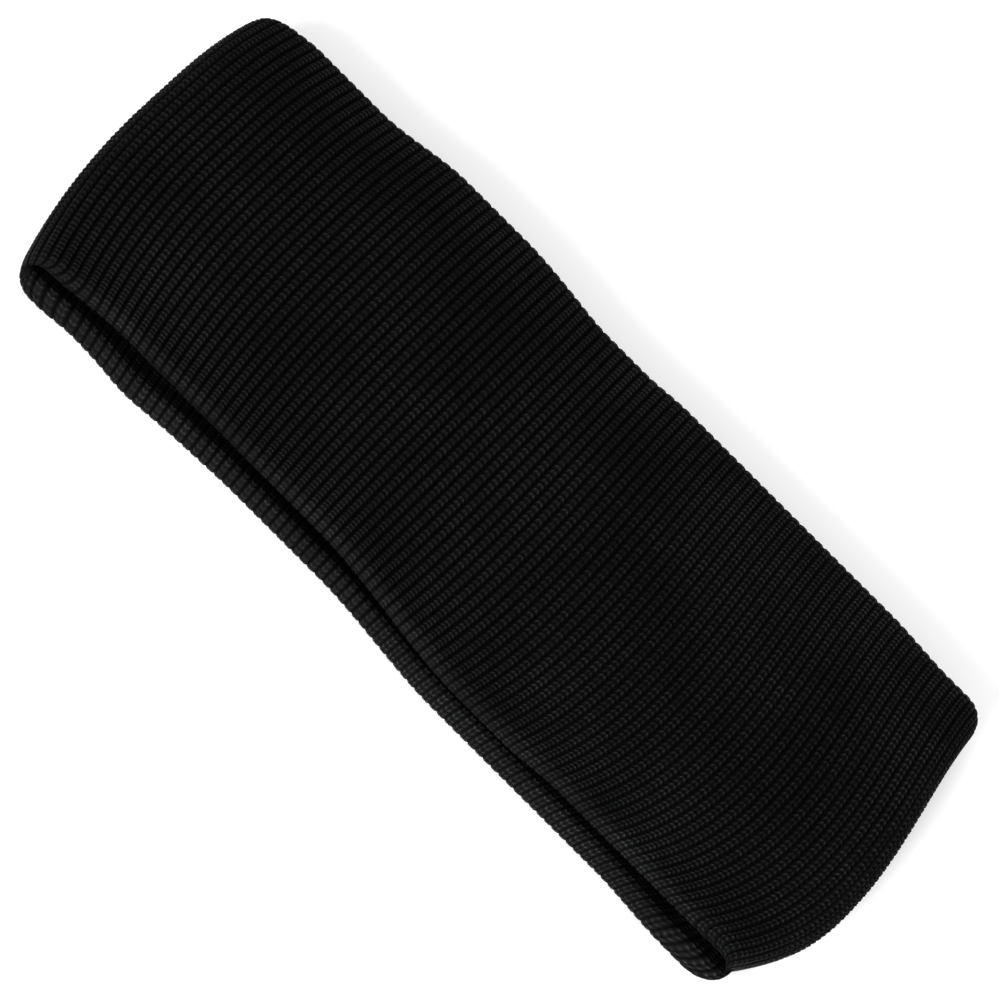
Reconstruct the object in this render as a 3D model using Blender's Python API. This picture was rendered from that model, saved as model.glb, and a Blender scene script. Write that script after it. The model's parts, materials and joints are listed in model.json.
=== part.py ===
"""Rib-knit sweat wristband, laid flat.

One tube of rib knit is folded into itself: the outer face turns in over two soft rims, and the
two raw edges meet in a linking seam round the inside. A web of covered elastic threads lies
between the two layers. The band is divided where it bends: flat segments along the back and
the front, and wedge segments at the two folded ends. Every segment hangs from a hinge line that
runs along the ribs, so the flat loop can open into a round one.

Frame: +X along the flat loop, Y along the ribs, +Z up. The origin is under the middle of the back.
"""
import math

import bmesh
import bpy
from mathutils import Matrix

# Driving dimensions, in metres
FLAT_LENGTH = 0.0835       # the loop laid flat, over its two folded ends
BAND_WIDTH = 0.031         # rim to rim, along the ribs
WALL = 0.0025              # two layers of knit and the elastic between them
SLIT = 0.0008              # between the back and the front when the loop lies flat
KNIT = 0.0008              # one layer of knit
GAP = 0.0003               # between neighbouring pieces

FLATS_PER_SIDE = 5         # flat segments in the back, and as many in the front
FOLDS_PER_END = 3          # wedge segments in each folded end
FOLD_GAP = math.radians(3.0)   # kept free on each side of a wedge
RIM_STEPS = 8              # facets round the turned rim
FOLD_STEPS = 5             # facets along a wedge

SEAM_WIDTH = 0.0011        # the linking seam, flush with the inner face
SEAM_CORNER = 0.0002
ELASTIC_WIDTH = 0.024      # the web, between the rims
ELASTIC_THREADS = 8
THREAD_HALF = 0.00015      # half the web's thickness on a thread
WEB_HALF = 0.00007         # half its thickness between threads

# Sizes worked out from the driving dimensions
HEIGHT = 2 * WALL + SLIT
FOLD_RADIUS = HEIGHT / 2
FLAT = (FLAT_LENGTH - 2 * FOLD_RADIUS) / FLATS_PER_SIDE
FLATS_HALF = FLAT * FLATS_PER_SIDE / 2
WEDGE = math.pi / FOLDS_PER_END


def clear_scene():
    for old in list(bpy.data.objects):
        bpy.data.objects.remove(old, do_unlink=True)


def material(name, color, roughness):
    mat = bpy.data.materials.new(name)
    mat.use_nodes = True
    shader = mat.node_tree.nodes["Principled BSDF"]
    shader.inputs["Base Color"].default_value = (*color, 1.0)
    shader.inputs["Roughness"].default_value = roughness
    shader.inputs["Metallic"].default_value = 0.0
    mat.diffuse_color = (*color, 1.0)
    return mat


def rim_arc(side, radius):
    """The turned rim as (y, depth) points, from the inner face round to the outer face."""
    centre_y = BAND_WIDTH / 2 - WALL / 2
    points = []
    for step in range(RIM_STEPS + 1):
        angle = math.pi / 2 - math.pi * step / RIM_STEPS
        y = side * (centre_y + radius * math.cos(angle))
        points.append((y, WALL / 2 + radius * math.sin(angle)))
    return points


def knit_outline():
    """The folded knit across the ribs: outer face, two rims and two inner flaps, a C."""
    lip = SEAM_WIDTH / 2 + GAP
    skin = WALL / 2
    lining = WALL / 2 - KNIT
    outside = rim_arc(1, skin) + rim_arc(-1, skin)[::-1]
    inside = rim_arc(-1, lining) + rim_arc(1, lining)[::-1]
    return [(lip, WALL)] + outside + [(-lip, WALL), (-lip, WALL - KNIT)] + inside + [(lip, WALL - KNIT)]


def elastic_outline():
    """The web across its threads: thick on each thread, thin between them."""
    steps = 2 * ELASTIC_THREADS
    top = []
    bottom = []
    for step in range(steps + 1):
        y = ELASTIC_WIDTH * (step / steps - 0.5)
        half = THREAD_HALF if step % 2 else WEB_HALF
        top.append((y, WALL / 2 + half))
        bottom.append((y, WALL / 2 - half))
    return top + bottom[::-1]


def seam_outline():
    """The linking seam between the two flaps: a bar with chamfered corners."""
    half = SEAM_WIDTH / 2
    low = WALL - KNIT
    corner = SEAM_CORNER
    right = [(half - corner, low), (half, low + corner), (half, WALL - corner), (half - corner, WALL)]
    left = [(-y, depth) for y, depth in reversed(right)]
    return right + left


def section_face(bm, outline, x, outer_z):
    """One flat face across the band; a depth of 0 lies at outer_z and grows upwards."""
    verts = [bm.verts.new((x, y, outer_z + depth)) for y, depth in outline]
    return bm.faces.new(verts)


def finish_mesh(bm, name):
    bmesh.ops.recalc_face_normals(bm, faces=bm.faces)
    mesh = bpy.data.meshes.new(name)
    bm.to_mesh(mesh)
    bm.free()
    mesh.shade_smooth()
    mesh.set_sharp_from_angle(angle=math.radians(35.0))
    return mesh


def flat_mesh(name, outline):
    """The section drawn out along X, centred, with its outer face at z = 0."""
    length = FLAT - GAP
    bm = bmesh.new()
    face = section_face(bm, outline, -length / 2, 0.0)
    drawn = bmesh.ops.extrude_face_region(bm, geom=[face])
    moved = [item for item in drawn["geom"] if isinstance(item, bmesh.types.BMVert)]
    bmesh.ops.translate(bm, verts=moved, vec=(length, 0.0, 0.0))
    return finish_mesh(bm, name)


def fold_mesh(name, outline):
    """The section turned about the fold's axis, centred on straight down, its axis the origin."""
    angle = WEDGE - 2 * FOLD_GAP
    bm = bmesh.new()
    face = section_face(bm, outline, 0.0, -FOLD_RADIUS)
    bmesh.ops.rotate(bm, verts=bm.verts, cent=(0, 0, 0), matrix=Matrix.Rotation(-angle / 2, 3, "Y"))
    bmesh.ops.spin(bm, geom=[face], cent=(0, 0, 0), axis=(0, 1, 0), angle=angle, steps=FOLD_STEPS)
    return finish_mesh(bm, name)


def segments():
    """Every segment as (name, centre x, centre z, turn about Y, is it a fold)."""
    rows = []
    for index in range(FLATS_PER_SIDE):
        x = -FLATS_HALF + FLAT * (index + 0.5)
        rows.append((f"back_{index + 1}", x, 0.0, 0.0, False))
        rows.append((f"front_{index + 1}", x, HEIGHT, math.pi, False))
    for index in range(FOLDS_PER_END):
        turn = WEDGE * (index + 0.5)
        rows.append((f"right_fold_{index + 1}", FLATS_HALF, FOLD_RADIUS, -turn, True))
        rows.append((f"left_fold_{index + 1}", -FLATS_HALF, FOLD_RADIUS, turn, True))
    return rows


def hinge_chains():
    """The hinge of each moving segment as (segment, parent, x, z), from the middle of the back.

    Two flat segments meet on the inner face and open on the outer one. At a fold they meet on
    the outer face and open on the inner one. The loop is left open between the last front
    segment and the right fold.
    """
    middle = FLATS_PER_SIDE // 2 + 1
    left = [f"back_{n}" for n in range(middle - 1, 0, -1)]
    left += [f"left_fold_{n + 1}" for n in range(FOLDS_PER_END)]
    left += [f"front_{n + 1}" for n in range(FLATS_PER_SIDE)]
    right = [f"back_{n}" for n in range(middle + 1, FLATS_PER_SIDE + 1)]
    right += [f"right_fold_{n + 1}" for n in range(FOLDS_PER_END)]
    rows = []
    for side, chain in ((-1, left), (1, right)):
        parent = f"back_{middle}"
        for name in chain:
            rows.append((name, parent, *hinge_place(side, parent, name)))
            parent = name
    return rows


def hinge_place(side, parent, child):
    """Where the hinge line between two neighbouring segments crosses the XZ plane."""
    kind = child.rsplit("_", 1)[0]
    number = int(child.rsplit("_", 1)[1])
    if "fold" in kind or "fold" in parent:
        step = number - 1 if "fold" in kind else FOLDS_PER_END
        angle = -math.pi / 2 + WEDGE * step
        x = side * (FLATS_HALF + FOLD_RADIUS * math.cos(angle))
        return x, FOLD_RADIUS + FOLD_RADIUS * math.sin(angle)
    if kind == "back":
        edge = number if side < 0 else number - 1
        return -FLATS_HALF + FLAT * edge, WALL
    return -FLATS_HALF + FLAT * (number - 1), HEIGHT - WALL


def empty(name, collection, location, parent):
    item = bpy.data.objects.new(name, None)
    item.empty_display_size = BAND_WIDTH / 8
    collection.objects.link(item)
    item.parent = parent
    item.location = location
    return item


def build():
    clear_scene()
    collection = bpy.data.collections.new("sweat_wristband")
    bpy.context.scene.collection.children.link(collection)

    kinds = {
        "knit": (knit_outline(), material("knit", (0.012, 0.012, 0.013), 0.85)),
        "elastic": (elastic_outline(), material("elastic", (0.05, 0.05, 0.052), 0.6)),
        "seam": (seam_outline(), material("seam_thread", (0.010, 0.010, 0.011), 0.75)),
    }
    meshes = {}
    for kind, (outline, mat) in kinds.items():
        meshes[kind, False] = flat_mesh(f"{kind}_flat", outline)
        meshes[kind, True] = fold_mesh(f"{kind}_fold", outline)
        meshes[kind, False].materials.append(mat)
        meshes[kind, True].materials.append(mat)

    root = f"back_{FLATS_PER_SIDE // 2 + 1}"
    places = {root: (0.0, 0.0)}
    holders = {root: empty("wristband", collection, (0, 0, 0), None)}
    for name, parent, x, z in hinge_chains():
        parent_x, parent_z = places[parent]
        places[name] = (x, z)
        holders[name] = empty(f"hinge_{name}", collection, (x - parent_x, 0, z - parent_z), holders[parent])

    for name, x, z, turn, is_fold in segments():
        hinge_x, hinge_z = places[name]
        for kind in kinds:
            piece = bpy.data.objects.new(f"{kind}_{name}", meshes[kind, is_fold])
            collection.objects.link(piece)
            piece.parent = holders[name]
            piece.location = (x - hinge_x, 0.0, z - hinge_z)
            piece.rotation_euler = (0.0, turn, 0.0)


build()
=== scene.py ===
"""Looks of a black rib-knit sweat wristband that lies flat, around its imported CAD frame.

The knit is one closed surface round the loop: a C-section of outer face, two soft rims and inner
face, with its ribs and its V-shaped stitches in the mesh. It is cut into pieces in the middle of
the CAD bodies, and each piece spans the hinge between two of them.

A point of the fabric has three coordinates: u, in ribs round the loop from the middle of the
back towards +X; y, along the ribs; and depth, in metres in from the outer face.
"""
import json
import math

import bpy
import numpy as np
from mathutils import Matrix, Vector


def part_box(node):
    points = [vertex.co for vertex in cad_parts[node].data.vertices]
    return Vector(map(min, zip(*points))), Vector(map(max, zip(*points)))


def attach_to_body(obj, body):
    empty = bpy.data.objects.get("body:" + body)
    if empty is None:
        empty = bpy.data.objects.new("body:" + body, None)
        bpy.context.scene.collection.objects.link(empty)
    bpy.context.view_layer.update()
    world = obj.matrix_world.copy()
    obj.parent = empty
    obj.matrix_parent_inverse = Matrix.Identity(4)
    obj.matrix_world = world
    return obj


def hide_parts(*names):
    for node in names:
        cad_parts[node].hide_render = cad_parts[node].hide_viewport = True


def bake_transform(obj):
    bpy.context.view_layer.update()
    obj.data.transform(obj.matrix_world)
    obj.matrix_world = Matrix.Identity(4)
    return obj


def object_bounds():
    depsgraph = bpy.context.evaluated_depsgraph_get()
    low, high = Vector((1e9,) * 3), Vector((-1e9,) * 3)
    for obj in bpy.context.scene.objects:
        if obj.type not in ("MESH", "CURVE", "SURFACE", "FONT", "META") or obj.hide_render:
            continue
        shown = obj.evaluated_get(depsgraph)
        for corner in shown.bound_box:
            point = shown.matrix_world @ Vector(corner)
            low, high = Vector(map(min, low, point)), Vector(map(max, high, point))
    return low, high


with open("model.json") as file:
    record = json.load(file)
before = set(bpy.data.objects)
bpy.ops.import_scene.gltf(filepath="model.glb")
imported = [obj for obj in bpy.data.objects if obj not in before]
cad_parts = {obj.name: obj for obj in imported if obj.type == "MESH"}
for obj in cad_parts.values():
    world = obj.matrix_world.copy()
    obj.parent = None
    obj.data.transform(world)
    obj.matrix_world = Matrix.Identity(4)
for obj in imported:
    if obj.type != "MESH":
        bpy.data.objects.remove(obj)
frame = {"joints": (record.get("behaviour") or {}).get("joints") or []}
CAD_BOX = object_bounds()

# The frame's own sizes
JOINTS = {joint["name"]: joint for joint in frame["joints"]}
HEIGHT = CAD_BOX[1].z - CAD_BOX[0].z
WIDTH = CAD_BOX[1].y - CAD_BOX[0].y
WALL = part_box("knit_back_3")[1].z
FOLD_X = JOINTS["open_right_fold_1"]["pos_m"][0]
FOLD_R = HEIGHT / 2
FLATS = 5
FOLDS = 3
FLAT = 2 * FOLD_X / FLATS

# The knit
FLAT_RIBS = 17                      # ribs across one flat body
FOLD_RIBS = 9                       # ribs round one folded end
RIB_CELLS = 8                       # mesh cells across a rib
RIBS = 2 * (FLATS * FLAT_RIBS + FOLD_RIBS)
COURSES = 137                       # stitches in a rib, once round the section
SKIN_ROWS = 4                       # mesh rows to a stitch on the outer face and the rims
LINING_ROWS = 2                     # and on the inner face
LOOSE_MIDDLE = 0.17                 # how much longer the stitches are in the middle of a face
RIB_DEPTH = 0.00042                 # crest of a rib to the groove beside it
STITCH_DEPTH = 0.00018              # crest of a stitch's leg to the dip between two
VALLEY_DEPTH = 0.00010              # between a stitch's two legs
LEG_SLANT = 0.75                    # stitches that a leg climbs in one rib's width
KNIT_WIDTH = 0.98 * WIDTH           # the relaxed knit, a little inside the solids' box
RIM = WALL / 2
HALF_FACE = KNIT_WIDTH / 2 - RIM
RIM_TURN = math.pi * RIM
AROUND = 4 * HALF_FACE + 2 * RIM_TURN

# How the relaxed fabric lies
RIGHT_BULGE = 1.3                   # millimetres past the solids, in the middle of the end
LEFT_BULGE = 0.9
STRIP_SHORT = 0.0011                # how much shorter the back's near rim is at the right end
RIM_SAG = 0.0007                    # how far the front's rims sag onto the back
NEAR_ROLL = 0.0006                  # how far the back's near rim stands up beside the front's
BOW_MIDDLE = -0.005                 # where the ribs are straight
LEAD_IN = 5                         # ribs beside a folded end, over which the way its cloth lies sets in
LINING_CALM = 0.35                  # how much flatter the ribs are on the inner face
RIM_CALM = 0.78                     # and at the rims
SAG_FROM = 0.005                    # the front sags from here, each way from the band's middle
SAG_TO = 0.014
ROLL_WIDTH = 0.0010
ROLL_PAST_FACE = 0.0003             # from the flat face's edge out to the roll's crest

# The yarn, as linear colours, and how its tone goes over the band, with painted shade, painted highlights
# and painted light
YARN_DARK = (0.0019, 0.0022, 0.00205)
YARN_LIGHT = (0.0043, 0.0047, 0.0045)
YARN_SPECULAR = 0.03
YARN_SHEEN = 0.01
OPEN_RIBS = (95, 75)                # ribs round the loop: closed at the first, spread open at the other
CLOSED_RIB_SHADE = [(0.0, 0.8), (0.2, 1.0), (0.34, 0.5), (0.45, 0.12), (0.5, 0.03)]   # (ribs off the crest, tone): painted shade in the groove and between the legs
OPENED_RIB_SHADE = [(0.0, 0.25), (0.2, 1.1), (0.34, 0.7), (0.45, 0.25), (0.5, 0.12)]
# painted light towards the right end, from this tone where the ribs are closed
CLOSED_PAINTED_LIGHT = 0.9
OPEN_PAINTED_LIGHT = 0.3                    # painted light: how much lighter the band is where its ribs spread open, towards its right end
# painted light on the rims and the inner face, from this tone in the middle of a face
MIDDLE_PAINTED_LIGHT = 0.78
RIM_PAINTED_LIGHT = 0.3                     # painted light: how much lighter a rim is; the inner face is lighter still
GROOVE_ROUGHNESS = 0.95
CREST_ROUGHNESS = 0.45
PAINTED_HIGHLIGHT_LEAST = 0.5                     # painted highlight: the brightest spot of a stitch's leg, over the yarn's own tone
# how much the painted highlight's strength varies from stitch to stitch
PAINTED_HIGHLIGHT_SPREAD = 4.2

# The threads
SEAM_GROOVE = 0.00025
SEAM_RADIUS = 0.00010
ELASTIC_THREADS = 8
ELASTIC_REACH = 0.0112
ELASTIC_RADIUS = 0.0003
THREAD_SIDES = 6

NARROW = 2                          # ribs; declare_cloth groups a narrower piece with the one before it, in a list that is not kept

# The camera
CAMERA_ELEVATION = 65
CAMERA_ROLL = 45
CAMERA_DISTANCE = 0.45
CAMERA_FIELD = 0.080                # metres across the picture at the band
CAMERA_AIM = Vector((0, 0, HEIGHT / 2))

# Where the pieces bend
OPEN_PIVOT = ("right_fold_3", "front_5")
TUCK = 10                           # mesh columns of knit that run on inside the pivot's other piece
TUCK_INSET = 0.00034                # how far in from that piece's face they lie


def smoothstep(x, low, high):
    t = np.clip((x - low) / (high - low), 0, 1)
    return t * t * (3 - 2 * t)


def bump(x, centre, width):
    return np.exp(-((x - centre) / width) ** 2)


def lay(u, depth):
    """The (x, z) of fabric that lies flat and straight, before its waves."""
    back = FLATS * FLAT_RIBS / 2
    front = back + FOLD_RIBS
    left = front + FLATS * FLAT_RIBS
    again = left + FOLD_RIBS
    u = np.mod(u, RIBS)
    right_turn = np.pi * (u - back) / FOLD_RIBS - np.pi / 2
    left_turn = np.pi * (u - left) / FOLD_RIBS + np.pi / 2
    radius = FOLD_R - depth
    pitch = FLAT / FLAT_RIBS
    where = [u < back, u < front, u < left, u < again]
    x = np.select(
        where,
        [u * pitch, FOLD_X + radius * np.cos(right_turn), FOLD_X - (u - front) * pitch,
         -FOLD_X + radius * np.cos(left_turn)],
        -FOLD_X + (u - again) * pitch,
    )
    z = np.select(
        where,
        [depth, FOLD_R + radius * np.sin(right_turn), HEIGHT - depth, FOLD_R + radius * np.sin(left_turn)],
        depth,
    )
    return x, z


def layer(u):
    """(0 on the back to 1 on the front, 0 on the flats to 1 in a folded end) at ribs round the loop."""
    back = FLATS * FLAT_RIBS / 2
    front = back + FOLD_RIBS
    left = front + FLATS * FLAT_RIBS
    again = left + FOLD_RIBS
    u = np.mod(u, RIBS)
    on_front = smoothstep(u, back, front) - smoothstep(u, left, again)
    right_end = smoothstep(u, back - LEAD_IN, back) * (1 - smoothstep(u, front, front + LEAD_IN))
    left_end = smoothstep(u, left - LEAD_IN, left) * (1 - smoothstep(u, again, again + LEAD_IN))
    return on_front, right_end + left_end


def ramp(x, low, high):
    """Smoothstep in millimetres: 0 before low and 1 after high, which may lie either way round."""
    t = np.clip((x * 1000 - low) / (high - low), 0, 1)
    return t * t * (3 - 2 * t)


def bulge_right(y):
    """How far the middle of the right end bulges past the solids, and its rims draw in, in metres."""
    y = y * 1000
    far = 2.4 * smoothstep(y, -3, 16)
    near = 3.6 * np.clip((-3 - y) / 11.6, 0, None) ** 2.6
    return (RIGHT_BULGE - far - near) / 1000


def bulge_left(y):
    y = y * 1000
    far = 0.7 * np.clip((y - 4) / 9.2, 0, None) ** 3
    near = 2.4 * np.clip((2 - y) / 16, 0, None) ** 2.2
    return (LEFT_BULGE - far - near) / 1000


def bow(x, y, depth, front, turned):
    """The ribs bow towards the nearer end, more and more towards it, because the rims are shorter than
    the middle. Inside a folded end the bow fades with depth."""
    right = np.clip((x - BOW_MIDDLE) / (FOLD_X - BOW_MIDDLE), 0, 1)
    left = np.clip((BOW_MIDDLE - x) / (FOLD_X + BOW_MIDDLE), 0, 1)
    skin = 1 - turned * np.clip(depth / WALL, 0, 1)
    strip = STRIP_SHORT * (1 - front) * smoothstep(-y, 0.006, 0.014) * smoothstep(x, 0.020, FOLD_X)
    return (right * bulge_right(y) - left * bulge_left(y) - strip) * skin


def rim_waves(x, y, front):
    """How the four rims wander across the band, in metres: front and back, near and far."""
    far_front = (1.31 + 1.06 * ramp(x, -29, -20) * ramp(x, -3, -13) + 0.18 * ramp(x, -12, -6)
                 + 0.31 * ramp(x, 1, 6) - 0.35 * ramp(x, 29, 36) - 0.44 * ramp(x, -36, -40))
    near_front = 1.73 - 1.68 * ramp(x, -9, 9) + 0.44 * ramp(x, 13, 20) - 0.71 * ramp(x, -30, -39)
    near_back = (-1.02 * ramp(x, -6, 8) - 0.44 * ramp(x, 26, 34) - 0.35 * bump(x, -0.027, 0.003)
                 - 0.30 * ramp(x, -15, -24) - 0.30 * ramp(x, -33, -37))
    far_back = 0.3 - 0.4 * ramp(x, -5, 10)
    across_band = np.clip(0.5 + y / KNIT_WIDTH, 0, 1)
    on_front = near_front + (far_front - near_front) * across_band
    on_back = near_back + (far_back - near_back) * across_band
    return (on_back + (on_front - on_back) * front) / 1000


def place(u, y, depth):
    """Points of the relaxed, lying fabric from ribs round the loop, y and depth."""
    x, z = lay(u, depth)
    front, turned = layer(u)
    z = z - RIM_SAG * front * smoothstep(np.abs(y), SAG_FROM, SAG_TO)
    roll = bump(y, -HALF_FACE - ROLL_PAST_FACE, ROLL_WIDTH) * smoothstep(depth, RIM / 2, WALL)
    z = z + NEAR_ROLL * (1 - front) * roll
    x = x + bow(x, y, depth, front, turned)
    y = y + rim_waves(x, y, front)
    return np.stack([x, y, z], -1)


def section():
    """Rows round the section from the middle of the inner face, as stitch counts."""
    skin_from = HALF_FACE / AROUND * COURSES
    skin_to = COURSES - skin_from
    lining = round(skin_from * LINING_ROWS)
    skin = round((skin_to - skin_from) * SKIN_ROWS)
    first = np.linspace(0, skin_from, lining, endpoint=False)
    outer = np.linspace(skin_from, skin_to, skin, endpoint=False)
    last = np.linspace(skin_to, COURSES, lining, endpoint=False)
    return np.concatenate([first, outer, last])


def loosen(share):
    """-1 to 1 across a face, with longer stitches in its middle."""
    return share * (1 + LOOSE_MIDDLE * (1 - share**2))


def across(stitch):
    """(y, depth, normal y, normal depth) of the smooth section at a stitch count."""
    t = np.mod(stitch, COURSES) / COURSES * AROUND
    far_rim = HALF_FACE + RIM_TURN
    near_face = far_rim + 2 * HALF_FACE
    near_rim = near_face + RIM_TURN
    far_turn = np.pi / 2 - (t - HALF_FACE) / RIM
    near_turn = -np.pi / 2 - (t - near_face) / RIM
    where = [t < HALF_FACE, t < far_rim, t < near_face, t < near_rim]
    zero = np.zeros_like(t)
    y = np.select(
        where,
        [HALF_FACE * loosen(t / HALF_FACE), HALF_FACE + RIM * np.cos(far_turn),
         HALF_FACE * loosen(1 + (far_rim - t) / HALF_FACE), -HALF_FACE + RIM * np.cos(near_turn)],
        HALF_FACE * loosen((t - AROUND) / HALF_FACE),
    )
    depth = np.select(
        where,
        [zero + WALL, RIM + RIM * np.sin(far_turn), zero, RIM + RIM * np.sin(near_turn)],
        zero + WALL,
    )
    normal_y = np.select(where, [zero, np.cos(far_turn), zero, np.cos(near_turn)], zero)
    normal_depth = np.select(where, [zero + 1, np.sin(far_turn), zero - 1, np.sin(near_turn)], zero + 1)
    return y, depth, normal_y, normal_depth


rng = np.random.default_rng(7)
STITCH_JITTER = rng.normal(0, 1, (RIBS, COURSES))


def relief(column, row):
    """How far the knit stands in from the smooth section, at mesh columns and unslanted stitch counts."""
    rib = column // RIB_CELLS
    phase = (column % RIB_CELLS) / RIB_CELLS - 0.5
    crest = 1 - np.abs(2 * phase) ** 2.6
    valley = np.exp(-((phase / 0.09) ** 2))
    leg = np.abs(np.sin(np.pi * row))
    jitter = STITCH_JITTER[rib % RIBS, np.floor(row).astype(int) % COURSES]
    stitches = STITCH_DEPTH * (1 + 0.22 * jitter) * (leg - 1) - VALLEY_DEPTH * valley
    return RIB_DEPTH * (crest - 1) + crest * stitches


def knit_grid(first, last, tuck=0):
    """Vertices, faces, map corners and normals of the knit between two mesh columns.
    It is worked out one column further each way, so that the normals run on across a cut. A tuck is
    so many columns more before the first, a little inside the neighbouring piece."""
    columns = np.arange(first - tuck - 1, last + 2)
    rows = section()
    column, row = np.meshgrid(columns, rows, indexing="ij")
    phase = np.abs((column % RIB_CELLS) / RIB_CELLS - 0.5)
    y, depth, normal_y, normal_depth = across(row + LEG_SLANT * phase)
    u = column / RIB_CELLS
    inner = smoothstep(depth, RIM, WALL)
    high = relief(column, row) * (1 - LINING_CALM * inner) * (1 - RIM_CALM * np.abs(normal_y))
    high = high - TUCK_INSET * np.clip(first - column, 0, 1)
    y = y + high * normal_y
    depth = depth + high * normal_depth
    depth = depth - SEAM_GROOVE * bump(y, 0, 0.0005) * inner
    points = place(u, y, depth)

    round_loop = points[2:] - points[:-2]
    round_section = (np.roll(points, -1, axis=1) - np.roll(points, 1, axis=1))[1:-1]
    normals = np.cross(round_loop, round_section)
    normals /= np.linalg.norm(normals, axis=2, keepdims=True)
    points = points[1:-1]

    wide, tall = points.shape[:2]
    a = np.arange(wide - 1)[:, None] * tall + np.arange(tall)[None, :]
    b = a + tall
    up = np.roll(a, -1, axis=1)
    b_up = np.roll(b, -1, axis=1)
    faces = np.stack([a, b, b_up, up], -1).reshape(-1, 4)

    low = np.broadcast_to(rows[None, :], (wide - 1, tall))
    high_row = np.broadcast_to(np.append(rows[1:], COURSES)[None, :], (wide - 1, tall))
    left = np.broadcast_to((columns[1:-2] / RIB_CELLS)[:, None], (wide - 1, tall))
    right = left + 1 / RIB_CELLS
    corners = np.stack(
        [np.stack([left, low], -1), np.stack([right, low], -1),
         np.stack([right, high_row], -1), np.stack([left, high_row], -1)], 2)
    return points.reshape(-1, 3), faces, corners.reshape(-1, 2), normals.reshape(-1, 3)


def make_mesh(name, mat, points, faces, corners, normals=None):
    mesh = bpy.data.meshes.new(name)
    mesh.vertices.add(len(points))
    mesh.vertices.foreach_set("co", points.astype(np.float32).ravel())
    mesh.loops.add(faces.size)
    mesh.loops.foreach_set("vertex_index", faces.astype(np.int32).ravel())
    mesh.polygons.add(len(faces))
    mesh.polygons.foreach_set("loop_start", np.arange(0, faces.size, faces.shape[1], dtype=np.int32))
    mesh.update(calc_edges=True)
    mesh.shade_smooth()
    map_layer = mesh.uv_layers.new(name="knit")
    map_layer.uv.foreach_set("vector", corners.astype(np.float32).ravel())
    if normals is not None:
        mesh.normals_split_custom_set_from_vertices(normals)
    mesh.materials.append(mat)
    item = bpy.data.objects.new(name, mesh)
    bpy.context.scene.collection.objects.link(item)
    return item


def math_node(nodes, links, operation, *values):
    """A Math node; the values are sockets or numbers."""
    node = nodes.new("ShaderNodeMath")
    node.operation = operation
    for socket, value in zip(node.inputs, values):
        if isinstance(value, (int, float)):
            socket.default_value = value
        else:
            links.new(value, socket)
    return node.outputs[0]


def folded(nodes, links, value):
    """0 in the middle of each whole step of value, to 0.5 between two steps."""
    share = math_node(nodes, links, "FRACT", value)
    return math_node(nodes, links, "ABSOLUTE", math_node(nodes, links, "SUBTRACT", share, 0.5))


def curve(nodes, links, value, stops):
    """A grey ramp through (position, brightness) stops."""
    return ramp_node(nodes, links, value, [(position, (grey, grey, grey)) for position, grey in stops])


def noise(nodes, links, vector, scale, detail):
    """Noise on the knit's map, with its own scale along the loop and along the ribs."""
    stretch = nodes.new("ShaderNodeMapping")
    stretch.inputs["Scale"].default_value = (*scale, 1)
    links.new(vector, stretch.inputs["Vector"])
    node = nodes.new("ShaderNodeTexNoise")
    node.inputs["Scale"].default_value = 1
    node.inputs["Detail"].default_value = detail
    links.new(stretch.outputs["Vector"], node.inputs["Vector"])
    return node


def ramp_node(nodes, links, value, stops):
    node = nodes.new("ShaderNodeValToRGB")
    elements = node.color_ramp.elements
    while len(elements) < len(stops):
        elements.new(0.5)
    for element, (position, colour) in zip(elements, stops):
        element.position = position
        element.color = (*colour, 1)
    links.new(value, node.inputs["Fac"])
    return node.outputs["Color"]


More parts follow.
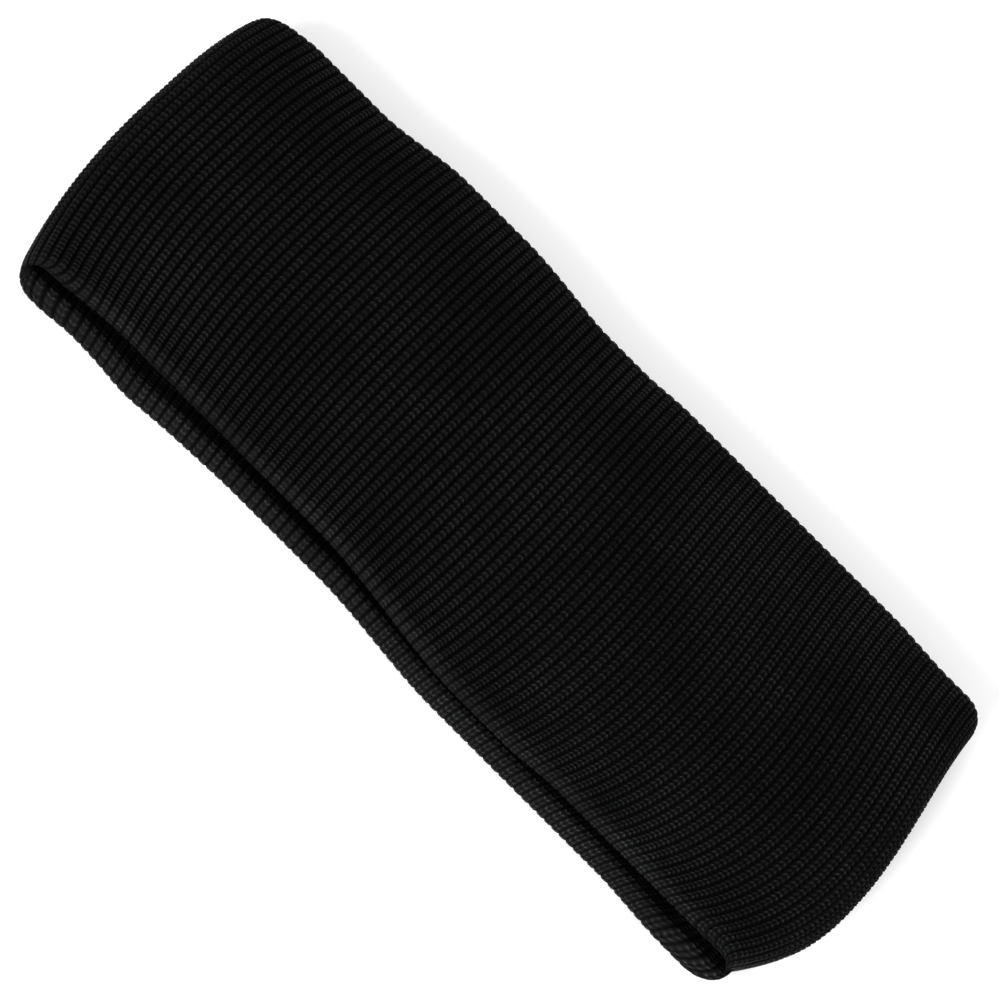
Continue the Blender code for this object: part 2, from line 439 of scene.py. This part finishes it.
def knit_material():
    """Black yarn, with painted shade in the grooves and in the dips between stitches, a painted highlight
    on each stitch's leg, and painted light on the rims, the inner face and towards the right end. The map's
    u counts ribs and its v counts stitches, so these and the yarn's fibres follow the mesh."""
    mat = bpy.data.materials.new("black_rib_knit")
    mat.use_nodes = True
    nodes, links = mat.node_tree.nodes, mat.node_tree.links
    shader = nodes["Principled BSDF"]
    shader.inputs["Specular IOR Level"].default_value = YARN_SPECULAR
    shader.inputs["Sheen Weight"].default_value = YARN_SHEEN
    shader.inputs["Sheen Roughness"].default_value = 0.3

    uv = nodes.new("ShaderNodeUVMap")
    uv.uv_map = "knit"
    split = nodes.new("ShaderNodeSeparateXYZ")
    links.new(uv.outputs["UV"], split.inputs["Vector"])
    from_crest = folded(nodes, links, split.outputs["X"])
    from_stitch = folded(nodes, links, split.outputs["Y"])
    # The rib's tone, darker in its grooves and between its legs: painted shade
    closed = curve(nodes, links, from_crest, CLOSED_RIB_SHADE)
    opened = curve(nodes, links, from_crest, OPENED_RIB_SHADE)
    spread = nodes.new("ShaderNodeMapRange")
    spread.inputs["From Min"].default_value = OPEN_RIBS[0]
    spread.inputs["From Max"].default_value = OPEN_RIBS[1]
    links.new(split.outputs["X"], spread.inputs["Value"])
    change = math_node(nodes, links, "SUBTRACT", opened, closed)
    rib = math_node(nodes, links, "MULTIPLY_ADD", spread.outputs["Result"], change, closed)
    # Darker in the dip between two stitches: painted shade
    stitch = curve(nodes, links, from_stitch, [(0.0, 1.0), (0.25, 0.65), (0.5, 0.2)])
    # A bright dot on each stitch's leg, of random strength: painted highlight
    leg_highlight_mask = curve(nodes, links, from_crest,
                   [(0.0, 0.1), (0.10, 0.4), (0.20, 1.0), (0.28, 0.45), (0.36, 0.0)])
    dot_highlight_mask = curve(nodes, links, from_stitch, [(0.0, 1.0), (0.07, 0.8), (0.15, 0.15), (0.24, 0.0)])

    whole = nodes.new("ShaderNodeVectorMath")
    whole.operation = "FLOOR"
    links.new(uv.outputs["UV"], whole.inputs[0])
    each = nodes.new("ShaderNodeTexWhiteNoise")
    each.noise_dimensions = "2D"
    links.new(whole.outputs["Vector"], each.inputs["Vector"])

    fibres = noise(nodes, links, uv.outputs["UV"], (5.0, 7.0), 4.0)
    cloth = noise(nodes, links, uv.outputs["UV"], (0.09, 0.05), 3.0)
    tone = ramp_node(nodes, links, cloth.outputs["Fac"], [(0.35, YARN_DARK), (0.65, YARN_LIGHT)])
    strands = math_node(nodes, links, "MULTIPLY_ADD", fibres.outputs["Fac"], 1.3, 0.35)
    knit_painted_shade = math_node(nodes, links, "MULTIPLY", rib, stitch)
    body = math_node(nodes, links, "MULTIPLY", knit_painted_shade, strands)
    painted_highlight_spot = math_node(nodes, links, "MULTIPLY", leg_highlight_mask, dot_highlight_mask)
    painted_glint = math_node(nodes, links, "MULTIPLY_ADD", each.outputs["Value"], PAINTED_HIGHLIGHT_SPREAD, PAINTED_HIGHLIGHT_LEAST)
    body_with_painted_highlights = math_node(nodes, links, "MULTIPLY_ADD", painted_highlight_spot, painted_glint, body)

    # Lighter towards the rims, and lighter still on the inner face: painted light
    past_middle = math_node(nodes, links, "SUBTRACT", split.outputs["Y"], COURSES / 2)
    from_middle = math_node(nodes, links, "ABSOLUTE", past_middle)
    share = math_node(nodes, links, "DIVIDE", from_middle, COURSES / 4)
    towards_rim = math_node(nodes, links, "POWER", share, 2.0)
    painted_rim_light = math_node(nodes, links, "MULTIPLY_ADD", towards_rim, RIM_PAINTED_LIGHT, MIDDLE_PAINTED_LIGHT)
    # Lighter towards the right end, where the ribs spread open: painted light
    painted_light_to_right = math_node(nodes, links, "MULTIPLY_ADD", spread.outputs["Result"], OPEN_PAINTED_LIGHT, CLOSED_PAINTED_LIGHT)
    shade = math_node(nodes, links, "MULTIPLY", body_with_painted_highlights, math_node(nodes, links, "MULTIPLY", painted_rim_light, painted_light_to_right))
    scale = nodes.new("ShaderNodeVectorMath")
    scale.operation = "SCALE"
    links.new(tone, scale.inputs[0])
    links.new(shade, scale.inputs["Scale"])
    links.new(scale.outputs["Vector"], shader.inputs["Base Color"])

    polish = CREST_ROUGHNESS - GROOVE_ROUGHNESS
    rough = math_node(nodes, links, "MULTIPLY_ADD", rib, polish, GROOVE_ROUGHNESS)
    links.new(rough, shader.inputs["Roughness"])
    rise = nodes.new("ShaderNodeBump")
    rise.inputs["Strength"].default_value = 0.7
    rise.inputs["Distance"].default_value = 0.00006
    links.new(fibres.outputs["Fac"], rise.inputs["Height"])
    links.new(rise.outputs["Normal"], shader.inputs["Normal"])
    return mat


def loop_bodies():
    """(body, first rib, last rib) in order round the loop from the middle of the back."""
    rows = []
    u = -FLAT_RIBS / 2
    order = ["back_3", "back_4", "back_5"]
    order += [f"right_fold_{n}" for n in (1, 2, 3)]
    order += [f"front_{n}" for n in (5, 4, 3, 2, 1)]
    order += [f"left_fold_{n}" for n in (3, 2, 1)]
    order += ["back_1", "back_2"]
    for body in order:
        ribs = FOLD_RIBS / FOLDS if "fold" in body else FLAT_RIBS
        rows.append((body, u, u + ribs))
        u += ribs
    return rows


def loop_pieces():
    """(first rib, last rib, body, next body) of the pieces, each cut in the middle of its two bodies.
    The loop's open pivot has no joint, so the two pieces that meet there ride on one body each."""
    bodies = loop_bodies()
    rows = []
    for place_in_loop, (body, first, last) in enumerate(bodies):
        following, next_first, next_last = bodies[(place_in_loop + 1) % len(bodies)]
        if next_first < first:
            next_last = next_last + RIBS
            next_first = next_first + RIBS
        middle, next_middle = (first + last) / 2, (next_first + next_last) / 2
        if OPEN_PIVOT == (body, following):
            rows.append((middle, last, body, body))
            rows.append((last, next_middle, following, following))
        else:
            rows.append((middle, next_middle, body, following))
    return rows


def piece_name(kind, body, following):
    return f"{kind}_{body}" if body == following else f"{kind}_{body}_to_{following}"


def attach(item, kind, body, following):
    """Parents a piece on one body to that body, or leaves a piece across a joint fixed in place, and lets
    it stand for its bodies' solids of that kind.
    """
    if body == following:
        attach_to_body(item, body)
    else:
        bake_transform(item)
    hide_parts(*sorted({f"{kind}_{body}", f"{kind}_{following}"}))


def strand(u, y, depth, radius):
    """Vertices, faces and map corners of a closed six-sided thread through fabric points."""
    line = place(u, y, depth)
    inward = place(u, y, depth + 1e-5) - line
    along = np.gradient(line, axis=0)
    side = np.cross(along, inward)
    side /= np.linalg.norm(side, axis=1, keepdims=True)
    up = np.cross(side, along)
    up /= np.linalg.norm(up, axis=1, keepdims=True)
    turn = np.arange(THREAD_SIDES) / THREAD_SIDES * 2 * np.pi
    ring = side[:, None] * np.cos(turn)[None, :, None] + up[:, None] * np.sin(turn)[None, :, None]
    points = (line[:, None] + radius * ring).reshape(-1, 3)

    start = np.arange(len(line) - 1)[:, None] * THREAD_SIDES
    a = start + np.arange(THREAD_SIDES)[None, :]
    b = start + np.roll(np.arange(THREAD_SIDES), -1)[None, :]
    walls = np.stack([a, b, b + THREAD_SIDES, a + THREAD_SIDES], -1).reshape(-1, 4)
    last = (len(line) - 1) * THREAD_SIDES
    caps = np.array([[3, 2, 1, 0], [5, 4, 3, 0]])
    faces = np.concatenate([walls, caps, last + caps[:, ::-1]])

    run = np.append(0, np.cumsum(np.linalg.norm(np.diff(line, axis=0), axis=1))) / radius
    low = np.repeat(run[:-1], THREAD_SIDES)
    high = np.repeat(run[1:], THREAD_SIDES)
    left = np.tile(np.arange(THREAD_SIDES), len(run) - 1) / THREAD_SIDES
    right = left + 1 / THREAD_SIDES
    corners = np.stack(
        [np.stack([low, left], -1), np.stack([low, right], -1),
         np.stack([high, right], -1), np.stack([high, left], -1)], 1).reshape(-1, 2)
    return points, faces, np.concatenate([corners, np.zeros((4 * len(caps) * 2, 2))])


def join(parts):
    """One mesh's data from several."""
    offsets = np.cumsum([0] + [len(points) for points, _, _ in parts[:-1]])
    points = np.concatenate([part[0] for part in parts])
    faces = np.concatenate([part[1] + offset for part, offset in zip(parts, offsets)])
    return points, faces, np.concatenate([part[2] for part in parts])


def elastic_threads(first, last):
    """The covered elastic threads that lie between the two layers."""
    u = np.linspace(first, last, int(round((last - first) * 2)) + 1)
    parts = []
    for y in np.linspace(-ELASTIC_REACH, ELASTIC_REACH, ELASTIC_THREADS):
        depth = WALL / 2 + 0.0001 * np.sin(np.pi * u)
        parts.append(strand(u, np.full_like(u, y), depth, ELASTIC_RADIUS))
    return join(parts)


def chain_stitches(first, last):
    """The linking seam along the middle of the inner face: a chain with one loop to a rib."""
    parts = []
    turn = np.linspace(0.12, 2 * np.pi - 0.12, 15)
    for rib in np.arange(math.ceil(first - 0.01), math.ceil(last - 0.01)):
        u = rib + 0.5 - 0.68 * np.cos(turn)
        y = 0.00030 * np.sin(turn) * (0.72 + 0.28 * np.cos(turn))
        sink = 0.00012 * np.cos(turn)
        u = np.clip(u, first, last)
        parts.append(strand(u, y, WALL - SEAM_GROOVE * 0.7 + sink, SEAM_RADIUS))
    return join(parts)


def thread_material(name, colour, roughness):
    """A twisted or wrapped thread: its turns are in the map along it."""
    mat = bpy.data.materials.new(name)
    mat.use_nodes = True
    nodes, links = mat.node_tree.nodes, mat.node_tree.links
    shader = nodes["Principled BSDF"]
    shader.inputs["Roughness"].default_value = roughness
    shader.inputs["Sheen Weight"].default_value = 0.08

    uv = nodes.new("ShaderNodeUVMap")
    uv.uv_map = "knit"
    turns = nodes.new("ShaderNodeMapping")
    turns.inputs["Rotation"].default_value = (0, 0, math.radians(28))
    links.new(uv.outputs["UV"], turns.inputs["Vector"])
    wraps = nodes.new("ShaderNodeTexWave")
    wraps.inputs["Scale"].default_value = 1.2
    wraps.inputs["Distortion"].default_value = 0.8
    links.new(turns.outputs["Vector"], wraps.inputs["Vector"])
    tone = nodes.new("ShaderNodeValToRGB")
    tone.color_ramp.elements[0].color = (*[c * 0.6 for c in colour], 1)
    tone.color_ramp.elements[1].color = (*[c * 1.3 for c in colour], 1)
    links.new(wraps.outputs["Fac"], tone.inputs["Fac"])
    links.new(tone.outputs["Color"], shader.inputs["Base Color"])
    rise = nodes.new("ShaderNodeBump")
    rise.inputs["Strength"].default_value = 0.6
    rise.inputs["Distance"].default_value = 0.00003
    links.new(wraps.outputs["Fac"], rise.inputs["Height"])
    links.new(rise.outputs["Normal"], shader.inputs["Normal"])
    return mat


def declare_cloth(pieces):
    """Groups a piece narrower than NARROW ribs with the one before it, in a list that is not kept."""
    declared = []
    for item, threads, ribs in pieces:
        if ribs < NARROW:
            declared[-1][1].extend([item, *threads])
        else:
            declared.append((item, list(threads), ribs * FLAT / FLAT_RIBS))


def wristband():
    yarn = knit_material()
    rubber = thread_material("covered_elastic", (0.05, 0.05, 0.052), 0.55)
    thread = thread_material("linking_thread", (0.010, 0.010, 0.011), 0.5)
    pieces = []
    for first, last, body, following in loop_pieces():
        cut = round(first * RIB_CELLS), round(last * RIB_CELLS)
        tuck = TUCK if body == following == OPEN_PIVOT[1] else 0
        cloth = knit_grid(*cut, tuck)
        web = elastic_threads(first, last)
        stitches = chain_stitches(first, last)
        knit = make_mesh(piece_name("knit", body, following) + "_cloth", yarn, *cloth)
        core = make_mesh(piece_name("elastic", body, following) + "_threads", rubber, *web)
        chain = make_mesh(piece_name("seam", body, following) + "_chain", thread, *stitches)
        attach(knit, "knit", body, following)
        attach(core, "elastic", body, following)
        attach(chain, "seam", body, following)
        pieces.append((knit, (core, chain), last - first + tuck / RIB_CELLS))
    declare_cloth(pieces)


def plain_material(name, colour, roughness):
    mat = bpy.data.materials.new(name)
    mat.use_nodes = True
    shader = mat.node_tree.nodes["Principled BSDF"]
    shader.inputs["Base Color"].default_value = (*colour, 1)
    shader.inputs["Roughness"].default_value = roughness
    return mat


def floor():
    bpy.ops.mesh.primitive_plane_add(size=4, location=(0, 0, CAD_BOX[0].z - 0.0003))
    item = bpy.context.object
    item.name = "studio_floor"
    item.data.materials.append(plain_material("pale_floor", (0.9, 0.9, 0.9), 0.8))


def area_light(name, place_at, aim, size, power):
    data = bpy.data.lights.new(name, "AREA")
    data.shape = "DISK"
    data.size = size
    data.energy = power
    item = bpy.data.objects.new(name, data)
    bpy.context.scene.collection.objects.link(item)
    item.location = place_at
    item.rotation_euler = (Vector(aim) - Vector(place_at)).to_track_quat("-Z", "Y").to_euler()


def studio():
    floor()
    area_light("key", (0.22, 0.38, 0.50), (0, 0, 0), 0.40, 2.0)
    area_light("fill", (-0.15, -0.58, 0.28), (0, 0, 0), 0.5, 9.0)
    world = bpy.data.worlds.new("studio")
    world.use_nodes = True
    world.node_tree.nodes["Background"].inputs["Color"].default_value = (1, 1, 1, 1)
    world.node_tree.nodes["Background"].inputs["Strength"].default_value = 0.78
    bpy.context.scene.world = world
    bpy.context.scene.view_settings.view_transform = "Standard"


def camera():
    """A long lens that looks down on the near rim, rolled so that the band runs corner to corner."""
    elevation = math.radians(CAMERA_ELEVATION)
    back = Vector((0, -math.cos(elevation), math.sin(elevation)))
    right = Vector((1, 0, 0))
    up = back.cross(right)
    roll = math.radians(CAMERA_ROLL)
    rolled_right = right * math.cos(roll) + up * math.sin(roll)
    rolled_up = back.cross(rolled_right)
    data = bpy.data.cameras.new("camera")
    data.sensor_width = 36
    data.lens = 36 * CAMERA_DISTANCE / CAMERA_FIELD
    item = bpy.data.objects.new("camera", data)
    bpy.context.scene.collection.objects.link(item)
    turn = Matrix((rolled_right, rolled_up, back)).transposed()
    item.matrix_world = Matrix.Translation(CAMERA_AIM + back * CAMERA_DISTANCE) @ turn.to_4x4()
    bpy.context.scene.camera = item


wristband()
studio()
camera()
